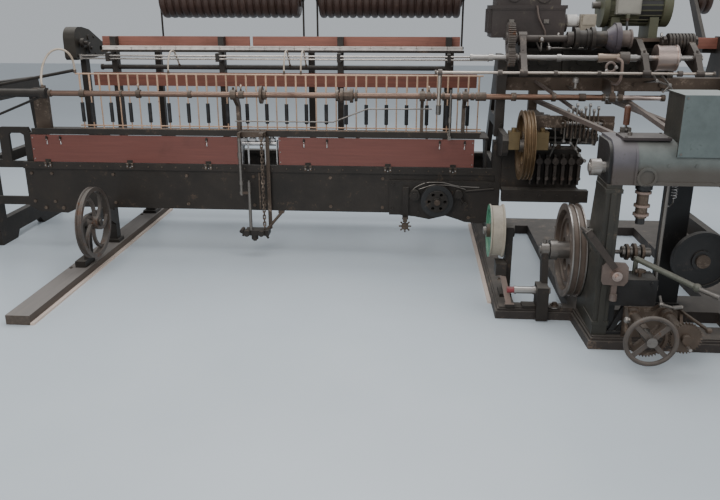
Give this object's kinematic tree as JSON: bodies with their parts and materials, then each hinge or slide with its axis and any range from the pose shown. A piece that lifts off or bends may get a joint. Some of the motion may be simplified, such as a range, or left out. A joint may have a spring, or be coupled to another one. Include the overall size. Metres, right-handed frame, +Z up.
{
  "type": "power loom",
  "caption": "Long power loom with a dark girder, hinged flaps, a ladder of upright rods, corrugated rollers and a gear head with drive column, pulleys and handwheel.",
  "frame": {"origin": "middle of the footprint on the floor", "axes": "+X along the machine to the gear head, +Y to the rear, +Z up"},
  "size_m": [5.59, 3.062, 2.022],
  "materials": {
    "sill_timber": "worn",
    "pale_timber": "worn",
    "base_iron": "oiled",
    "dark_iron": "worn satin",
    "brown_steel": "rusted",
    "red_board": "worn",
    "flap_wood": "worn varnish",
    "pale_segment": "satin",
    "cream_rod": "satin",
    "black_rubber": "matte",
    "black_paint": "worn",
    "cream_hose": "matte",
    "casing_paint": "oily",
    "motor_paint": "satin",
    "column_paint": "worn",
    "housing_paint": "worn satin",
    "cover_paint": "satin",
    "gold": "worn",
    "white_cylinder": "satin",
    "green_steel": "worn",
    "rusty_tube": "rusted",
    "copper": "worn",
    "bright_rod": "worn",
    "wheel_iron": "worn",
    "roller_paint": "worn",
    "pulley_iron": "rusted",
    "green_paint": "worn",
    "grip_wood": "oiled"
  },
  "bodies": {
    "frame": {"left_sill": "sill_timber", "floor_battens": "pale_timber", "right_base": "base_iron", "left_end_frame": "dark_iron", "left_stand": "dark_iron", "front_girder": "dark_iron", "drive_plate": "dark_iron", "rear_girder": "dark_iron", "ledge_bar": "brown_steel", "shelf": "brown_steel", "rear_posts": "dark_iron", "back_board": "red_board", "dark_tube": "dark_iron", "top_boards": "red_board", "segment_rail": "dark_iron", "segments": "pale_segment", "rod_ladder": "cream_rod", "rod_sleeves": "black_rubber", "shaft_brackets": "brown_steel", "guard_cover": "black_paint", "hoses": "cream_hose", "mid_frame": "dark_iron", "upper_beam": "brown_steel", "gearbox_casing": "casing_paint", "upper_bearings": "brown_steel", "motor": "motor_paint", "drive_column": "column_paint", "rear_column": "black_paint", "gearbox_housing": "housing_paint", "cover_box": "cover_paint", "brass_blocks": "gold", "pulley_stand": "column_paint", "small_cylinder": "white_cylinder", "tie_bars": "brown_steel", "right_end_frame": "dark_iron", "chain": "brown_steel", "chain_hanger": "brown_steel", "link_rods": "green_steel"},
    "line_shaft": {"tube_shaft": "rusty_tube", "copper_shaft": "copper"},
    "flap_left": {"flap_left": "flap_wood"},
    "flap_right": {"flap_right": "flap_wood"},
    "carriers": {"carrier_rods": "bright_rod"},
    "starting_rod": {"starting_rod": "brown_steel"},
    "left_wheel": {"left_wheel": "wheel_iron"},
    "roller_left": {"roller_left": "roller_paint"},
    "roller_right": {"roller_right": "roller_paint"},
    "roller_end": {"roller_end": "roller_paint"},
    "gear_shaft": {"gear_shaft": "wheel_iron"},
    "collar_shaft": {"collar_shaft": "wheel_iron"},
    "gold_pulley": {"gold_pulley": "gold"},
    "big_pulley": {"big_pulley": "pulley_iron"},
    "green_pulley": {"green_pulley": "green_paint"},
    "handwheel": {"handwheel": "pulley_iron"},
    "crank_gear": {"crank_gear": "brown_steel"},
    "hand_lever": {"hand_lever": "grip_wood"},
    "disc_pulley": {"disc_pulley": "black_paint"},
    "lever_bank": {"lever_bank": "brown_steel"},
    "rear_disc": {"rear_disc": "black_paint"},
    "step_shaft": {"step_shaft": "brown_steel"}
  },
  "joints": [
    {"name": "line_shaft_spin", "type": "hinge", "parent": "frame", "child": "line_shaft", "pos_m": [0, 0.25, 1.215], "axis": [1, 0, 0], "continuous": true},
    {"name": "flap_left_hinge", "type": "hinge", "parent": "frame", "child": "flap_left", "pos_m": [-1.565, 0.323, 0.69], "axis": [1, 0, 0], "range_deg": [0, 90]},
    {"name": "flap_right_hinge", "type": "hinge", "parent": "frame", "child": "flap_right", "pos_m": [0.235, 0.323, 0.69], "axis": [1, 0, 0], "range_deg": [0, 90]},
    {"name": "carrier_slide", "type": "slide", "parent": "frame", "child": "carriers", "axis": [1, 0, 0], "range_m": [-0.025, 0.025]},
    {"name": "starting_slide", "type": "slide", "parent": "frame", "child": "starting_rod", "axis": [1, 0, 0], "range_m": [-0.03, 0.03]},
    {"name": "left_wheel_spin", "type": "hinge", "parent": "frame", "child": "left_wheel", "pos_m": [-1.725, -0.15, 0.365], "axis": [1, 0, 0], "continuous": true},
    {"name": "roller_left_spin", "type": "hinge", "parent": "frame", "child": "roller_left", "pos_m": [-0.995, 1.25, 1.872], "axis": [1, 0, 0], "continuous": true},
    {"name": "roller_right_spin", "type": "hinge", "parent": "frame", "child": "roller_right", "pos_m": [0.297, 1.25, 1.872], "axis": [1, 0, 0], "continuous": true},
    {"name": "roller_end_spin", "type": "hinge", "parent": "frame", "child": "roller_end", "pos_m": [2.736, 1.25, 1.872], "axis": [1, 0, 0], "continuous": true},
    {"name": "gear_shaft_spin", "type": "hinge", "parent": "frame", "child": "gear_shaft", "pos_m": [1.15, 0.25, 1.604], "axis": [1, 0, 0], "continuous": true},
    {"name": "collar_shaft_spin", "type": "hinge", "parent": "frame", "child": "collar_shaft", "pos_m": [1.15, 0.14934, 1.48614], "axis": [1, 0, 0], "continuous": true},
    {"name": "gold_pulley_spin", "type": "hinge", "parent": "frame", "child": "gold_pulley", "pos_m": [1.268, 0.05, 0.915], "axis": [1, 0, 0], "continuous": true},
    {"name": "big_pulley_spin", "type": "hinge", "parent": "frame", "child": "big_pulley", "pos_m": [1.47, -0.65, 0.401], "axis": [1, 0, 0], "continuous": true},
    {"name": "green_pulley_spin", "type": "hinge", "parent": "frame", "child": "green_pulley", "pos_m": [1.03, -0.55, 0.486], "axis": [1, 0, 0], "continuous": true},
    {"name": "handwheel_spin", "type": "hinge", "parent": "frame", "child": "handwheel", "pos_m": [1.727, -1.5, 0.201], "axis": [0, 1, 0], "continuous": true},
    {"name": "crank_gear_spin", "type": "hinge", "parent": "frame", "child": "crank_gear", "pos_m": [1.912, -1.45, 0.201], "axis": [0, 1, 0], "continuous": true},
    {"name": "hand_lever_hinge", "type": "hinge", "parent": "frame", "child": "hand_lever", "pos_m": [1.655, -0.89, 1.172], "axis": [1, 0, 0], "range_deg": [-20, 20]},
    {"name": "disc_pulley_spin", "type": "hinge", "parent": "frame", "child": "disc_pulley", "pos_m": [0.692, 0.28, 0.455], "axis": [0, 1, 0], "continuous": true},
    {"name": "lever_bank_hinge", "type": "hinge", "parent": "frame", "child": "lever_bank", "pos_m": [1.65, 0.1, 1.06], "axis": [1, 0, 0], "range_deg": [-10, 10]},
    {"name": "rear_disc_spin", "type": "hinge", "parent": "frame", "child": "rear_disc", "pos_m": [2.18, -0.85, 0.42], "axis": [0, 1, 0], "continuous": true},
    {"name": "step_shaft_spin", "type": "hinge", "parent": "frame", "child": "step_shaft", "pos_m": [1.74, -0.95, 0.495], "axis": [1, 0, 0], "continuous": true}
  ],
  "couplings": [
    {"joint": "collar_shaft_spin", "follows": "gear_shaft_spin", "ratio": -1.8182},
    {"joint": "crank_gear_spin", "follows": "handwheel_spin", "ratio": -1.3125}
  ]
}
